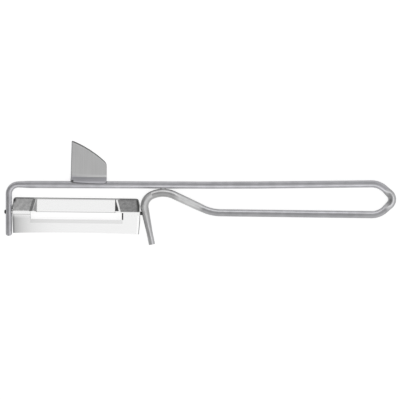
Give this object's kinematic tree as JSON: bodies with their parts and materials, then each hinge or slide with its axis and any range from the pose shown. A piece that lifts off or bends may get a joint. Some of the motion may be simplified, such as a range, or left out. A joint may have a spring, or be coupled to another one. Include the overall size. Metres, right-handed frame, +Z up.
{
  "type": "swivel vegetable peeler",
  "caption": "Bent-wire peeler lying flat, with a slotted blade that swivels on pivot pins between two arms, a pointed eye remover on its rail and a hanging loop.",
  "frame": {"origin": "middle of the underside of the peeler's box as it lies on a table", "axes": "+X from the blade to the hanging loop, +Y towards the eye remover, +Z up from the table"},
  "size_m": [0.1856, 0.0494, 0.0048],
  "materials": {
    "satin_wire": "satin drawn wire",
    "satin_plate": "tumbled satin sheet",
    "polished_blade": "polished",
    "dark_pin": "dark, as headed"
  },
  "bodies": {
    "frame": {"wire_frame": "satin_wire", "eye_remover": "satin_plate"},
    "blade_unit": {"blade": "polished_blade", "left_pivot_pin": "dark_pin", "right_pivot_pin": "dark_pin"}
  },
  "joints": [
    {"name": "blade_swivel", "type": "hinge", "parent": "frame", "child": "blade_unit", "pos_m": [-0.05864, -0.00929, 0.0017], "axis": [0.9999, -0.0119, 0], "continuous": true}
  ]
}
